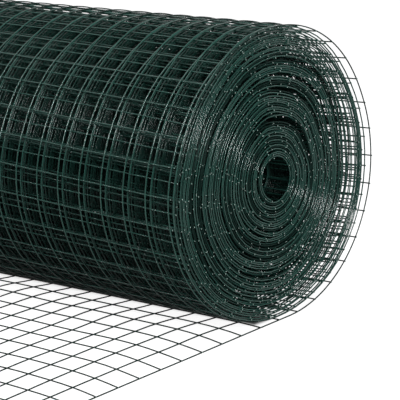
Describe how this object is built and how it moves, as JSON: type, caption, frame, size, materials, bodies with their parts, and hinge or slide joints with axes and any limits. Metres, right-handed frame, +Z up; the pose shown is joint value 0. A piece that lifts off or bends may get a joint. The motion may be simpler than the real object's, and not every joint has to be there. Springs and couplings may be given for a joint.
{
  "type": "roll of welded wire fencing",
  "caption": "Roll of square welded wire mesh with a dark green coat, lying on its side, its outer end unrolled flat along the floor, for fencing off or guarding ground.",
  "frame": {"origin": "centre of the footprint, on the floor that the roll lies on", "axes": "+X along the roll's own axis, -Y towards the free end of the mesh on the floor, +Z up"},
  "size_m": [1.004, 0.467, 0.25],
  "materials": {
    "green_coat": "dark green plastic coat on steel wire, satin"
  },
  "bodies": {
    "root": {"wound_roll": "green_coat", "laid_mesh_1": "green_coat", "laid_mesh_2": "green_coat", "laid_mesh_3": "green_coat", "loose_lap_1": "green_coat", "loose_lap_2": "green_coat", "loose_lap_3": "green_coat", "outer_turn_1": "green_coat", "outer_turn_2": "green_coat", "outer_turn_3": "green_coat"}
  },
  "joints": []
}
